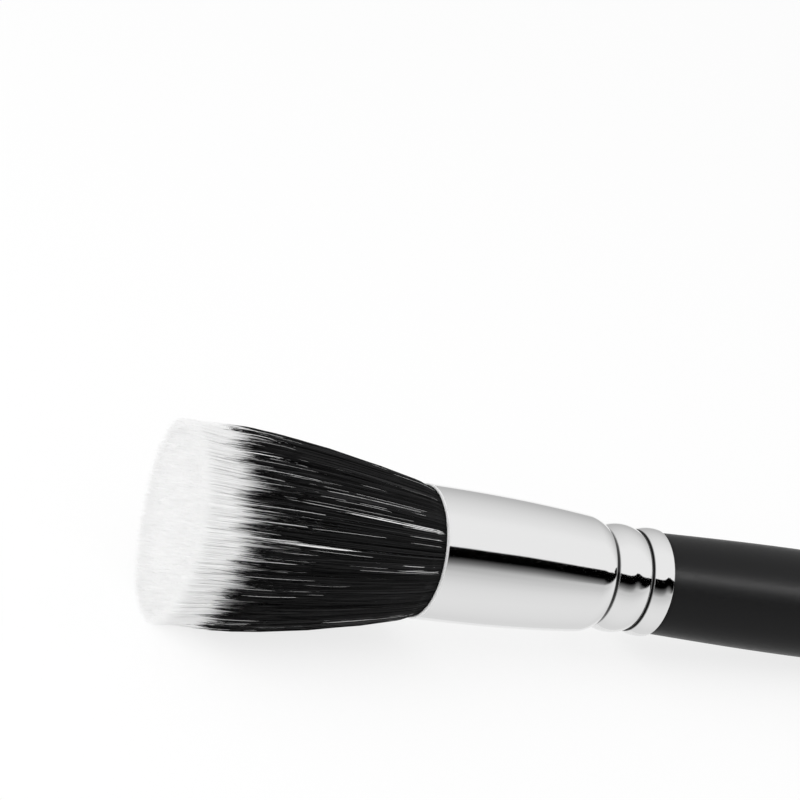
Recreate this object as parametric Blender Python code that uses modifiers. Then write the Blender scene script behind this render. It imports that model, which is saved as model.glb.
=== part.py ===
"""Duo fibre brush: a turned handle, a swaged ferrule and a flared knot of black and white fibres.

Metres, +Z up. The brush lies on its side with its tips towards -X. It rests on the edge of its
white tips and on the end of its handle. Every piece is modelled standing on the brush's own
axis, with the ferrule's mouth at height 0, the tips above it and the handle below it, and the
empty brush_axis lays them all down.
"""

import math

import bmesh
import bpy
import numpy as np
from mathutils import Matrix, Vector

# Ferrule, measured from its mouth towards the handle
MOUTH_RADIUS = 0.0096
FERRULE_WALL = 0.0004
BARREL_LENGTH = 0.0257
BARREL_END_RADIUS = 0.00855
BARREL_CURVE = 2.3
SHOULDER_LENGTH = 0.0031
FRONT_GROOVE_RADIUS = 0.0072
FRONT_BEAD_WIDTH = 0.0053
FRONT_BEAD_RISE = 0.0007
REAR_GROOVE_RADIUS = 0.0073
REAR_BEAD_WIDTH = 0.0034
REAR_BEAD_RISE = 0.0003
FERRULE_END_RADIUS = 0.0079
RIM_ROUNDING = 0.00012

# Handle, measured from the ferrule's end
HANDLE_LENGTH = 0.1162
NECK_STEP = 0.0005
SWELL_RADIUS = 0.008
SWELL_DISTANCE = 0.028
TAIL_RADIUS = 0.0052
TAIL_CURVE = 1.5
END_DOME_LENGTH = 0.006
END_FLAT_RADIUS = 0.0018

# Knot: its fibres stand on the ferrule's mouth, and its root reaches down inside the ferrule
TUFT_LENGTH = 0.0373
TIP_RADIUS = 0.0144
FLARE_POWER = 0.52
BLACK_LENGTH = 0.0298
BLACK_UNEVENNESS = 0.0025
WHITE_UNEVENNESS = 0.0007
KNOT_DEPTH = 0.014
KNOT_ROOT_RADIUS = 0.0077
RING_GAP = 0.00014
BAND_THICKNESS = 0.0002
TOOTH_GAP = 0.0002
PAIRS_IN_RING = (46, 38, 30, 22, 13, 6)
TUFT_SAG = 0.00065
SAG_POWER = 0.6
TIP_PRESS = 0.0004

# Pieces hidden in the ferrule
THREAD_RADIUS = 0.00025
THREAD_PITCH = 0.00095
THREAD_TURNS = 3
THREAD_FROM_ROOT = 0.0006
RESIN_THICKNESS = 0.0062
GLUE_THICKNESS = 0.0008
GLUE_INSET = 0.0006

# Clearances between pieces that touch on the real brush
SEAT_GAP = 0.0003
KNOT_GAP = 0.0003
TENON_GAP = 0.0003

# Facets
FERRULE_STEPS = 44
HANDLE_STEPS = 40
INSIDE_STEPS = 24
MERGE_DISTANCE = 0.00001
RANDOM_SEED = 7

FRONT_GROOVE_DEPTH = BARREL_LENGTH + SHOULDER_LENGTH
REAR_GROOVE_DEPTH = FRONT_GROOVE_DEPTH + FRONT_BEAD_WIDTH
FERRULE_LENGTH = REAR_GROOVE_DEPTH + REAR_BEAD_WIDTH
NECK_DEPTH = FERRULE_LENGTH + SEAT_GAP
RESIN_DEPTH = KNOT_DEPTH + SEAT_GAP
GLUE_DEPTH = RESIN_DEPTH + RESIN_THICKNESS + SEAT_GAP
TENON_DEPTH = GLUE_DEPTH + GLUE_THICKNESS + SEAT_GAP
KNOT_RADIUS = MOUTH_RADIUS - FERRULE_WALL - KNOT_GAP
NECK_RADIUS = FERRULE_END_RADIUS - NECK_STEP
TENON_RADIUS = FERRULE_END_RADIUS - FERRULE_WALL - TENON_GAP


def sag(distance, bend):
    """How far an arc of this curvature has fallen at a distance along its tangent."""
    return bend * distance**2 / (1 + np.sqrt(1 - (bend * distance) ** 2))


def bend_of(span, fall):
    """The curvature of the arc that falls by this much over this span."""
    return 2 * fall / (span**2 + fall**2)


def bead(distance, width, rise, start, end):
    """Radius along a rounded bead: the straight line from its start to its end, plus an arc."""
    straight = start + (end - start) * distance / width
    return straight + rise - sag(distance - width / 2, bend_of(width / 2, rise))


def ferrule_radius(depth):
    """Outer radius of the ferrule at each depth below its mouth."""
    depth = np.asarray(depth, float)
    taper = MOUTH_RADIUS - BARREL_END_RADIUS
    barrel = MOUTH_RADIUS - taper * (np.clip(depth, 0, BARREL_LENGTH) / BARREL_LENGTH) ** BARREL_CURVE
    end_slope = taper * BARREL_CURVE / BARREL_LENGTH
    past_barrel = np.clip(depth - BARREL_LENGTH, 0, SHOULDER_LENGTH)
    fall = BARREL_END_RADIUS - FRONT_GROOVE_RADIUS - end_slope * SHOULDER_LENGTH
    shoulder = barrel - end_slope * past_barrel - sag(past_barrel, bend_of(SHOULDER_LENGTH, fall))
    in_front = np.clip(depth - FRONT_GROOVE_DEPTH, 0, FRONT_BEAD_WIDTH)
    front = bead(in_front, FRONT_BEAD_WIDTH, FRONT_BEAD_RISE, FRONT_GROOVE_RADIUS, REAR_GROOVE_RADIUS)
    in_rear = np.clip(depth - REAR_GROOVE_DEPTH, 0, REAR_BEAD_WIDTH)
    rear = bead(in_rear, REAR_BEAD_WIDTH, REAR_BEAD_RISE, REAR_GROOVE_RADIUS, FERRULE_END_RADIUS)
    return np.select([depth <= FRONT_GROOVE_DEPTH, depth <= REAR_GROOVE_DEPTH], [shoulder, front], rear)


def bore_radius(depth):
    """Inner radius of the ferrule at each depth below its mouth."""
    return ferrule_radius(depth) - FERRULE_WALL


def tightest_bore(start, end):
    """The ferrule's smallest inner radius between two depths."""
    return float(bore_radius(np.linspace(start, end, 40)).min())


def stations(*ends_and_counts):
    """Depths from one end to the next, with a count of steps between each two ends."""
    depths = [ends_and_counts[0]]
    for count, end in zip(ends_and_counts[1::2], ends_and_counts[2::2]):
        depths.extend(np.linspace(depths[-1], end, count + 1)[1:])
    return np.array(depths)


def ferrule_profile():
    depth = stations(0, 6, BARREL_LENGTH, 4, FRONT_GROOVE_DEPTH, 6, REAR_GROOVE_DEPTH, 5, FERRULE_LENGTH)
    return np.column_stack([ferrule_radius(depth), -depth])


def tenon_profile():
    """The tenon's side, dented where the ferrule's two grooves are swaged into the wood."""
    depth = stations(
        TENON_DEPTH, 1, BARREL_LENGTH, 3, FRONT_GROOVE_DEPTH, 4, REAR_GROOVE_DEPTH, 3, NECK_DEPTH
    )
    radius = np.minimum(TENON_RADIUS, bore_radius(depth) - TENON_GAP)
    return np.column_stack([radius, -depth])


def grip_profile():
    """The visible handle: a quarter wave out to the swell, a taper to the tail and a domed end."""
    swell = np.linspace(0, 1, 6)
    swell_radius = NECK_RADIUS + (SWELL_RADIUS - NECK_RADIUS) * np.sin(swell * math.pi / 2)
    swell_depth = swell * SWELL_DISTANCE
    taper = np.linspace(0, 1, 8)[1:]
    taper_radius = SWELL_RADIUS - (SWELL_RADIUS - TAIL_RADIUS) * taper**TAIL_CURVE
    taper_depth = SWELL_DISTANCE + taper * (HANDLE_LENGTH - END_DOME_LENGTH - SWELL_DISTANCE)
    dome = np.linspace(0, math.pi / 2, 7)[1:]
    dome_radius = END_FLAT_RADIUS + (TAIL_RADIUS - END_FLAT_RADIUS) * np.cos(dome)
    dome_depth = HANDLE_LENGTH - END_DOME_LENGTH + END_DOME_LENGTH * np.sin(dome)
    radius = np.concatenate([swell_radius, taper_radius, dome_radius])
    depth = NECK_DEPTH + np.concatenate([swell_depth, taper_depth, dome_depth])
    return np.column_stack([radius, -depth])


def spread(height):
    """How many times wider the knot is at a height above the mouth than at the mouth."""
    return 1 + (TIP_RADIUS / outer_tip_at_root() - 1) * (height / TUFT_LENGTH) ** FLARE_POWER


def outer_tip_at_root():
    """The radius at the mouth of the point that the outermost white tips stand over."""
    return KNOT_RADIUS - BAND_THICKNESS - TOOTH_GAP


def lying_down():
    """The turn and the place that lay the brush on its white tips and its handle's end."""
    tip_rest = TIP_RADIUS + TUFT_SAG - TIP_PRESS
    solid = np.concatenate([ferrule_profile(), grip_profile()])
    past_tips = TUFT_LENGTH - solid[:, 1]
    lean = math.atan(((tip_rest - solid[:, 0]) / past_tips).min())
    far_end = (past_tips * math.cos(lean) + solid[:, 0] * math.sin(lean)).max()
    near_end = -TIP_RADIUS * math.sin(lean)
    mouth = Vector(
        (
            TUFT_LENGTH * math.cos(lean) - (near_end + far_end) / 2,
            0,
            tip_rest * math.cos(lean) - TUFT_LENGTH * math.sin(lean),
        )
    )
    return Matrix.Translation(mouth) @ Matrix.Rotation(lean - math.pi / 2, 4, "Y")


def material(name, colour, roughness, metallic=0.0):
    made = bpy.data.materials.new(name)
    made.use_nodes = True
    shader = made.node_tree.nodes["Principled BSDF"]
    shader.inputs["Base Color"].default_value = (*colour, 1)
    shader.inputs["Roughness"].default_value = roughness
    shader.inputs["Metallic"].default_value = metallic
    return made


def place(name, data, collection, axis, finish):
    """Puts a mesh or a curve on the brush's axis, as an object of this name."""
    obj = bpy.data.objects.new(name, data)
    collection.objects.link(obj)
    obj.parent = axis
    obj.data.materials.append(finish)
    return obj


def turned(name, profile, steps, collection, axis, finish):
    """A turned piece: a profile of radii and heights, from its top down its outer side."""
    mesh = bpy.data.meshes.new(name)
    points = [(radius, 0, height) for radius, height in profile]
    mesh.from_pydata(points, [(i, i + 1) for i in range(len(points) - 1)], [])
    obj = place(name, mesh, collection, axis, finish)
    screw = obj.modifiers.new("turned", "SCREW")
    screw.axis = "Z"
    screw.steps = steps
    screw.render_steps = steps
    screw.use_smooth_shade = True
    screw.use_merge_vertices = True
    screw.merge_threshold = MERGE_DISTANCE
    return obj


def solid_profile(side):
    """A profile closed onto the axis at its top and its bottom."""
    return [(0, side[0][1]), *side, (0, side[-1][1])]


def make_ferrule(collection, axis, finish):
    ferrule = turned("ferrule", ferrule_profile(), FERRULE_STEPS, collection, axis, finish)
    wall = ferrule.modifiers.new("wall", "SOLIDIFY")
    wall.thickness = FERRULE_WALL
    wall.offset = -1
    wall.use_even_offset = True
    rims = ferrule.modifiers.new("rims", "BEVEL")
    rims.width = RIM_ROUNDING
    rims.segments = 1
    rims.limit_method = "ANGLE"
    rims.angle_limit = math.radians(85)


def make_handle(collection, axis, finish):
    side = np.concatenate([tenon_profile(), grip_profile()])
    turned("handle", solid_profile(side), HANDLE_STEPS, collection, axis, finish)


def make_root_resin(collection, axis, finish):
    """The plug of resin under the knot, as wide as the ferrule lets it be, with a slight dish."""
    end = RESIN_DEPTH + RESIN_THICKNESS
    radius = bore_radius(np.array([RESIN_DEPTH, end])) - SEAT_GAP
    side = [(radius[0], -RESIN_DEPTH), (radius[1], -end)]
    turned("root_resin", solid_profile(side), INSIDE_STEPS, collection, axis, finish)


def make_tenon_glue(collection, axis, finish):
    """The cake of glue that the tenon pushed ahead of it, rounded at its edge."""
    end = GLUE_DEPTH + GLUE_THICKNESS
    bore = tightest_bore(GLUE_DEPTH, end)
    radius = min(TENON_RADIUS + GLUE_INSET, bore - SEAT_GAP)
    middle = GLUE_DEPTH + GLUE_THICKNESS / 2
    side = [(radius - GLUE_INSET, -GLUE_DEPTH), (radius, -middle), (radius - GLUE_INSET, -end)]
    turned("tenon_glue", solid_profile(side), INSIDE_STEPS, collection, axis, finish)


def root_scale(depth):
    """The knot narrows evenly from the mouth to its bound root."""
    return 1 + (KNOT_ROOT_RADIUS / KNOT_RADIUS - 1) * depth / KNOT_DEPTH


def make_binding_thread(collection, axis, finish):
    """One thread wound round the root of the knot."""
    points_in_turn = 16
    turn = np.linspace(0, THREAD_TURNS, THREAD_TURNS * points_in_turn + 1)
    depth = KNOT_DEPTH - THREAD_FROM_ROOT - THREAD_RADIUS - THREAD_PITCH * turn
    radius = KNOT_RADIUS * root_scale(depth) + SEAT_GAP + THREAD_RADIUS
    angle = 2 * math.pi * turn
    curve = bpy.data.curves.new("binding_thread", "CURVE")
    curve.dimensions = "3D"
    curve.bevel_depth = THREAD_RADIUS
    curve.bevel_resolution = 1
    curve.use_fill_caps = True
    spline = curve.splines.new("POLY")
    spline.points.add(len(turn) - 1)
    ones = np.ones(len(turn))
    points = np.column_stack([radius * np.cos(angle), radius * np.sin(angle), -depth, ones])
    spline.points.foreach_set("co", points.ravel())
    place("binding_thread", curve, collection, axis, finish)


def ring_cells(bm, pairs, plain_radius, base_radius, tip_radius, half_angle, phase):
    """The flat top of one ring's backing at height 0: a band whose teeth each carry one fibre.

    plain_radius is the band's smooth edge, base_radius its toothed edge and tip_radius the
    point of each tooth. It returns the faces of the teeth.
    """

    def corner(radius, angle):
        return bm.verts.new((radius * math.cos(angle), radius * math.sin(angle), 0))

    centres = [phase + 2 * math.pi * i / pairs for i in range(pairs)]
    left = [corner(base_radius, angle - half_angle) for angle in centres]
    right = [corner(base_radius, angle + half_angle) for angle in centres]
    point = [corner(tip_radius, angle) for angle in centres]
    if plain_radius > 0:
        plain = [corner(plain_radius, angle) for angle in centres]
    else:
        plain = [corner(0, 0)] * pairs
    teeth = []
    for i in range(pairs):
        following = (i + 1) % pairs
        bm.faces.new((plain[i], right[i], left[i]))
        gap = [plain[i], plain[following], left[following], right[i]]
        bm.faces.new(list(dict.fromkeys(gap)))
        teeth.append(bm.faces.new((left[i], right[i], point[i])))
    return teeth


def grow(bm, teeth, heights, keeps, lengths, tip_lean):
    """Draws each tooth up into a three-sided fibre that ends in a point.

    Every fibre follows the knot's own flare, so none crosses another: at each height it stays
    inside its tooth's outline, spread by the flare.
    """
    tops = teeth
    before, kept = 0.0, 1.0
    for height, keep in zip(heights, keeps):
        tops = bmesh.ops.extrude_discrete_faces(bm, faces=tops)["faces"]
        widen = spread(height) / spread(before)
        for face in tops:
            centre = face.calc_center_median()
            for vert in face.verts:
                moved = (centre + (vert.co - centre) * keep / kept) * widen
                vert.co = (moved.x, moved.y, height)
        before, kept = height, keep
    tops = sorted(tops, key=lambda face: math.atan2(*face.calc_center_median().yx))
    for face, length in zip(tops, lengths):
        centre = face.calc_center_median()
        reach = [vert.co.xy.length for vert in face.verts]
        outer = [vert.co for vert, far in zip(face.verts, reach) if far > max(reach) - MERGE_DISTANCE]
        lean = centre.lerp(sum(outer, Vector()) / len(outer), tip_lean)
        tip = bmesh.ops.poke(bm, faces=[face])["verts"][0]
        lean *= spread(length) / spread(before)
        tip.co = (lean.x, lean.y, length)


def sink(bm, laid):
    """Lets the fibres sag: the knot lies a little lower the farther it stands out of the ferrule.

    The shift is the tips' sag times the height's share of the tuft to a power. Tips that would
    then lie below the table are lifted onto it.
    """
    stand = laid.inverted()
    for vert in bm.verts:
        if vert.co.z > 0:
            vert.co.x -= TUFT_SAG * (vert.co.z / TUFT_LENGTH) ** SAG_POWER
            on_table = laid @ vert.co
            on_table.z = max(on_table.z, 0)
            vert.co = stand @ on_table


def make_ring(name, pairs, radii, half_angle, phase, heights, lengths, collection, axis, finish):
    """One ring of the knot: a slice of the bound root with its fibres fused to it."""
    bm = bmesh.new()
    teeth = ring_cells(bm, pairs, *radii, half_angle, phase)
    sheet = bm.faces[:]
    root = bmesh.ops.extrude_face_region(bm, geom=sheet)["geom"]
    for vert in (item for item in root if isinstance(item, bmesh.types.BMVert)):
        narrow = root_scale(KNOT_DEPTH)
        vert.co = (vert.co.x * narrow, vert.co.y * narrow, -KNOT_DEPTH)
    keeps = np.linspace(0.96, 0.8, len(heights))
    grow(bm, teeth, heights, keeps, lengths, 0.8)
    sink(bm, axis.matrix_world)
    bmesh.ops.recalc_face_normals(bm, faces=bm.faces[:])
    if bm.calc_volume(signed=True) < 0:
        bmesh.ops.reverse_faces(bm, faces=bm.faces[:])
    mesh = bpy.data.meshes.new(name)
    bm.to_mesh(mesh)
    bm.free()
    place(name, mesh, collection, axis, finish)


def make_knot(collection, axis, black, white):
    """Rings of black and white fibres, whose teeth interlock so that both colours share each ring."""
    rng = np.random.default_rng(RANDOM_SEED)
    pitch = (KNOT_RADIUS + RING_GAP) / len(PAIRS_IN_RING)
    puff, belly = 0.14 * TUFT_LENGTH, 0.5 * TUFT_LENGTH
    for ring, pairs in enumerate(PAIRS_IN_RING):
        outer = KNOT_RADIUS - ring * pitch
        inner = max(outer - pitch + RING_GAP, 0) if ring < len(PAIRS_IN_RING) - 1 else 0
        black_base, white_base = outer - BAND_THICKNESS, inner + BAND_THICKNESS
        half_pitch = math.pi / pairs
        middle = (outer + inner) / 2
        half_angle = half_pitch - TOOTH_GAP / middle
        heights = (puff, belly) if ring == 0 else (belly,)
        black_radii = (outer, black_base, white_base + TOOTH_GAP)
        white_radii = (inner, white_base, black_base - TOOTH_GAP)
        black_lengths = BLACK_LENGTH + BLACK_UNEVENNESS * rng.uniform(-1, 1, pairs)
        white_lengths = TUFT_LENGTH - WHITE_UNEVENNESS * rng.uniform(0, 1, pairs)
        rest = (half_angle, 0.0, heights, black_lengths, collection, axis, black)
        make_ring(f"black_hair_{ring + 1}", pairs, black_radii, *rest)
        rest = (half_angle, half_pitch, heights, white_lengths, collection, axis, white)
        make_ring(f"white_fibre_{ring + 1}", pairs, white_radii, *rest)


def make_brush():
    for obj in list(bpy.data.objects):
        bpy.data.objects.remove(obj, do_unlink=True)
    collection = bpy.data.collections.new("duo_fibre_brush")
    bpy.context.scene.collection.children.link(collection)
    axis = bpy.data.objects.new("brush_axis", None)
    axis.empty_display_size = TUFT_LENGTH
    axis.matrix_world = lying_down()
    collection.objects.link(axis)
    bpy.context.view_layer.update()

    lacquer = material("black_lacquer", (0.012, 0.012, 0.013), 0.38)
    nickel = material("polished_nickel", (0.83, 0.82, 0.8), 0.1, 1.0)
    black = material("black_hair", (0.008, 0.008, 0.009), 0.5)
    white = material("white_fibre", (0.9, 0.9, 0.89), 0.45)
    resin = material("clear_resin", (0.75, 0.62, 0.32), 0.15)
    thread = material("binding_thread", (0.82, 0.8, 0.74), 0.8)
    glue = material("wood_glue", (0.86, 0.82, 0.68), 0.4)

    make_handle(collection, axis, lacquer)
    make_ferrule(collection, axis, nickel)
    make_root_resin(collection, axis, resin)
    make_tenon_glue(collection, axis, glue)
    make_binding_thread(collection, axis, thread)
    make_knot(collection, axis, black, white)


make_brush()
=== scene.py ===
"""Duo fibre brush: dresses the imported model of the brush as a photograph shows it."""

import math

import bpy
import numpy as np
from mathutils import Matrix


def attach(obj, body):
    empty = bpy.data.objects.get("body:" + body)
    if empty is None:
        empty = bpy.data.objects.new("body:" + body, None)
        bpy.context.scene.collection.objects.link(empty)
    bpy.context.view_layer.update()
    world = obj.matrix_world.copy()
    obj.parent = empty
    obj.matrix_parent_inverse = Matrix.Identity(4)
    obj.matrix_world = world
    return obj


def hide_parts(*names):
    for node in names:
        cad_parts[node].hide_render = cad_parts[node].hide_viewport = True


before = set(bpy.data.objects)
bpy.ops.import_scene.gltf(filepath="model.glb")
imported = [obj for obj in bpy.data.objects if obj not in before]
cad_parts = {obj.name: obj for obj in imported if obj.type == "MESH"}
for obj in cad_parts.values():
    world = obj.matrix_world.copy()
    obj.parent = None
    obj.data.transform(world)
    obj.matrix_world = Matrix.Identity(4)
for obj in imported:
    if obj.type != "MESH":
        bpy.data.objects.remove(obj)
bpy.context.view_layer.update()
scene = bpy.context.scene
scene.view_settings.view_transform = "Standard"


# Camera. A long lens looks down on the brush from in front of its tips' side, a little past the
# white end, and is rolled so that the handle runs down to the right.
CAMERA_PLACE = (-0.220243, -0.333362, 0.164341)
CAMERA_TURN = (69.96708, -14.06431, -19.69018)
CAMERA_LENS = 127.9625
SENSOR_WIDTH = 36
NEAREST_SEEN = 0.01
FARTHEST_SEEN = 20

camera_data = bpy.data.cameras.new("camera")
camera_data.lens = CAMERA_LENS
camera_data.sensor_width = SENSOR_WIDTH
camera_data.clip_start = NEAREST_SEEN
camera_data.clip_end = FARTHEST_SEEN
camera = bpy.data.objects.new("camera", camera_data)
camera.location = CAMERA_PLACE
camera.rotation_euler = [math.radians(angle) for angle in CAMERA_TURN]
scene.collection.objects.link(camera)
scene.camera = camera


# Room and floor. A white room gives most of the light, one wide lamp above the tips' side models
# the shapes a little, and the white floor keeps the brush's soft shadow.
ROOM_LIGHT = 0.85
ROOM_SEEN = 1.0
LAMP_POWER = 2.5
LAMP_SIZE = 0.7
LAMP_PLACE = (-0.72, -0.06, 0.36)
LAMP_TURN = (math.radians(5), math.radians(-61), 0)
FLOOR_HALF_WIDTH = 4
FLOOR_COLOUR = (0.98, 0.98, 0.98, 1)
FLOOR_ROUGHNESS = 0.9
FLOOR_SHINE = 0.1
FLOOR_SEEN_WHITE = 0.78
LIGHT_BOUNCES = 24


def shader_setup(name):
    """A new material, its node tree and its Principled shader."""
    made = bpy.data.materials.new(name)
    made.use_nodes = True
    return made, made.node_tree, made.node_tree.nodes["Principled BSDF"]


def add_node(tree, kind, **settings):
    """A node of this kind. A setting whose name starts with in_ is the number of an input."""
    node = tree.nodes.new(kind)
    for key, value in settings.items():
        if key.startswith("in_"):
            node.inputs[int(key[3:])].default_value = value
        else:
            setattr(node, key, value)
    return node


def mesh_object(name, points, faces, smooth=True):
    """An object of world points (n, 3) and of faces, which are index arrays with one row a face."""
    mesh = bpy.data.meshes.new(name)
    corners = np.concatenate([np.asarray(rows, np.int32).ravel() for rows in faces])
    sizes = np.concatenate([np.full(len(rows), rows.shape[1], np.int32) for rows in faces])
    mesh.vertices.add(len(points))
    mesh.vertices.foreach_set("co", np.asarray(points, np.float32).ravel())
    mesh.loops.add(len(corners))
    mesh.loops.foreach_set("vertex_index", corners)
    mesh.polygons.add(len(sizes))
    starts = np.concatenate([[0], np.cumsum(sizes)[:-1]])
    mesh.polygons.foreach_set("loop_start", starts.astype(np.int32))
    mesh.polygons.foreach_set("use_smooth", np.full(len(sizes), smooth))
    mesh.update(calc_edges=True)
    made = bpy.data.objects.new(name, mesh)
    scene.collection.objects.link(made)
    return made


def set_attribute(piece, name, values):
    """Stores one number for each point of a piece."""
    layer = piece.data.attributes.new(name, "FLOAT", "POINT")
    layer.data.foreach_set("value", np.asarray(values, np.float32).ravel())


def as_seen(tree, unseen, seen):
    """One number for light that falls on things, and another for what the eye, a mirror or a lens
    sees: camera, glossy and transmission rays."""
    rays = add_node(tree, "ShaderNodeLightPath")
    either = add_node(tree, "ShaderNodeMath", operation="MAXIMUM")
    any_ray = add_node(tree, "ShaderNodeMath", operation="MAXIMUM")
    level = add_node(tree, "ShaderNodeMapRange", in_3=unseen, in_4=seen)
    tree.links.new(rays.outputs["Is Camera Ray"], either.inputs[0])
    tree.links.new(rays.outputs["Is Glossy Ray"], either.inputs[1])
    tree.links.new(either.outputs[0], any_ray.inputs[0])
    tree.links.new(rays.outputs["Is Transmission Ray"], any_ray.inputs[1])
    tree.links.new(any_ray.outputs[0], level.inputs[0])
    return level.outputs[0]


# Light passes from fibre to fibre many times before it leaves the white tips
scene.cycles.max_bounces = LIGHT_BOUNCES
scene.cycles.diffuse_bounces = LIGHT_BOUNCES

world = bpy.data.worlds.new("white_room")
world.use_nodes = True
scene.world = world
room = world.node_tree
room.nodes["Background"].inputs["Color"].default_value = (1, 1, 1, 1)
room.links.new(as_seen(room, ROOM_LIGHT, ROOM_SEEN), room.nodes["Background"].inputs["Strength"])

lamp_data = bpy.data.lights.new("wide_lamp", "AREA")
lamp_data.energy = LAMP_POWER
lamp_data.size = LAMP_SIZE
lamp = bpy.data.objects.new("wide_lamp", lamp_data)
lamp.location = LAMP_PLACE
lamp.rotation_euler = LAMP_TURN
scene.collection.objects.link(lamp)
lamp.visible_glossy = False

floor_paint, floor_tree, floor_shader = shader_setup("white_floor")
floor_shader.inputs["Base Color"].default_value = FLOOR_COLOUR
floor_shader.inputs["Roughness"].default_value = FLOOR_ROUGHNESS
floor_shader.inputs["Specular IOR Level"].default_value = FLOOR_SHINE
floor_white = add_node(floor_tree, "ShaderNodeEmission")
floor_mix = add_node(floor_tree, "ShaderNodeMixShader")
floor_tree.links.new(as_seen(floor_tree, 0, FLOOR_SEEN_WHITE), floor_mix.inputs[0])
floor_tree.links.new(floor_shader.outputs[0], floor_mix.inputs[1])
floor_tree.links.new(floor_white.outputs[0], floor_mix.inputs[2])
floor_tree.links.new(floor_mix.outputs[0], floor_tree.nodes["Material Output"].inputs["Surface"])
corner_signs = np.array([(-1, -1), (1, -1), (1, 1), (-1, 1)])
floor_corners = np.column_stack([corner_signs * FLOOR_HALF_WIDTH, np.zeros(4)])
floor = mesh_object("floor", floor_corners, [np.array([[0, 1, 2, 3]])], smooth=False)
floor.data.materials.append(floor_paint)


# Reflection cards. A black card before the brush, which fades to white towards the floor, draws
# the dark stripe along the ferrule, and a grey card behind dims the ferrule's upper edge. A small
# black one far beyond the handle's end lets the stripe run on into the grooves.
MOUTH_CENTRE = np.array([-0.0579534, 0, 0.01273121])
LEAN = math.radians(2.91946)
CAMERA_SIDE = math.radians(-66.76)
CARD_DISTANCE = 0.4
CARD_ABOVE_FLOOR = 0.0006
END_CARD_PLACE = 3
END_CARD_SIZE = 0.5
BLACK_BAND = (   # metres past the mouth, then the black's top and end in degrees above the camera
    (-1.4, 16, -6), (-0.4, 15, -5.5), (-0.2, 13.8, -5.5), (-0.1, 11, -6.5), (0, 8.8, -8.2),
    (0.06, 8, -8.5), (0.11, 8.2, -8), (0.15, 9.6, -6.8), (0.18, 11.5, -4.6), (0.205, 13.6, -2.5),
    (0.22, 13.7, -2), (0.24, 13.3, -2.2), (0.27, 13.5, -2), (0.3, 12.2, -3.6), (0.34, 10.6, -6.2),
    (0.38, 9.5, -9), (0.44, 8.8, -11.5), (0.54, 7.9, -14.5), (0.7, 7.8, -18), (0.95, 9.5, -20),
    (1.4, 10.2, -24), (3, 12, -26), (9, 14, -26), (30, 20, -26),
)
FRONT_FADE = (   # degrees past the black's end, and the shade there
    (0, 0), (-2, 0.03), (-9, 0.19), (-16.5, 0.5), (-24, 0.7), (-30.5, 0.79), (-37, 0.86),
    (-43, 0.89), (-53, 0.91), (-60, 0.9), (-67, 0.88), (-73, 0.85), (-80, 0.81), (-90, 0.8),
)
BACK_FADE = (    # degrees above the camera, and the shade there
    (60, 1), (70, 0.98), (80, 0.93), (90, 0.89), (100, 0.84), (112, 0.77), (125, 0.68), (140, 0.58),
    (155, 0.52),
)


def laid_down(side, across, height):
    """World points of a place on the brush's own axis, which leans a little off the level.

    Height runs from the ferrule's mouth to the tips, side points up and across points away from
    the camera. The result is the mouth's centre plus side, across and height along those three.
    """
    up = np.array([math.sin(LEAN), 0, math.cos(LEAN)])
    away = np.array([0, 1, 0])
    tipward = np.array([-math.cos(LEAN), 0, math.sin(LEAN)])
    parts = [np.multiply.outer(np.asarray(part, float), way) for part, way in
             ((side, up), (across, away), (height, tipward))]
    return MOUTH_CENTRE + parts[0] + parts[1] + parts[2]


def stored_value(tree, name):
    """The number that set_attribute stored under this name, at each place of the surface."""
    return add_node(tree, "ShaderNodeAttribute", attribute_name=name).outputs["Fac"]


def leave_to_reflections(card, shade):
    """Paints a card with one shade for each of its points, and shows it to reflections only."""
    set_attribute(card, "shade", shade)
    card.data.materials.append(card_paint)
    for kind in ("camera", "diffuse", "transmission", "volume_scatter", "shadow"):
        setattr(card, f"visible_{kind}", False)


def reflection_card(name, place, rise, shade):
    """A long card round the brush, of rows of edges: one row a place along the brush.

    rise holds the angle of each row's edges above the camera. An edge lies at the card's distance
    along its angle, or where that angle meets the floor.
    """
    angle = CAMERA_SIDE + np.radians(rise)
    drop = MOUTH_CENTRE[2] - CARD_ABOVE_FLOOR
    distance = np.where(np.cos(angle) < -drop / CARD_DISTANCE, -drop / np.cos(angle), CARD_DISTANCE)
    along = np.broadcast_to(MOUTH_CENTRE[0] + place[:, None], angle.shape)
    level = MOUTH_CENTRE[2] + distance * np.cos(angle)
    points = np.stack([along, distance * np.sin(angle), level], -1)
    rows, edges = rise.shape
    first = (np.arange(rows - 1)[:, None] * edges + np.arange(edges - 1)).ravel()
    faces = np.column_stack([first, first + 1, first + 1 + edges, first + edges])
    leave_to_reflections(mesh_object(name, points.reshape(-1, 3), [faces]), np.tile(shade, rows))


card_paint, card_tree, card_shader = shader_setup("graded_card")
card_tree.nodes.remove(card_shader)
card_glow = add_node(card_tree, "ShaderNodeEmission")
card_tree.links.new(stored_value(card_tree, "shade"), card_glow.inputs["Color"])
card_tree.links.new(card_glow.outputs[0], card_tree.nodes["Material Output"].inputs["Surface"])

band_place, band_top, band_end = np.array(BLACK_BAND, float).T
front_angle, front_shade = np.array(FRONT_FADE).T
front_rise = np.column_stack([band_top, band_end[:, None] + front_angle])
reflection_card("front_card", band_place, front_rise, np.concatenate([[0], front_shade]))
back_angle, back_shade = np.array(BACK_FADE).T
reflection_card("back_card", band_place, np.tile(back_angle, (len(band_place), 1)), back_shade)

end_height = np.array([CARD_ABOVE_FLOOR, CARD_ABOVE_FLOOR, END_CARD_SIZE, END_CARD_SIZE])
end_side = corner_signs[:, 0] * END_CARD_SIZE
end_corners = np.column_stack([np.full(4, END_CARD_PLACE), end_side, end_height])
end_card = mesh_object("end_card", end_corners, [np.array([[0, 1, 2, 3]])], smooth=False)
leave_to_reflections(end_card, np.zeros(4))


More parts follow.
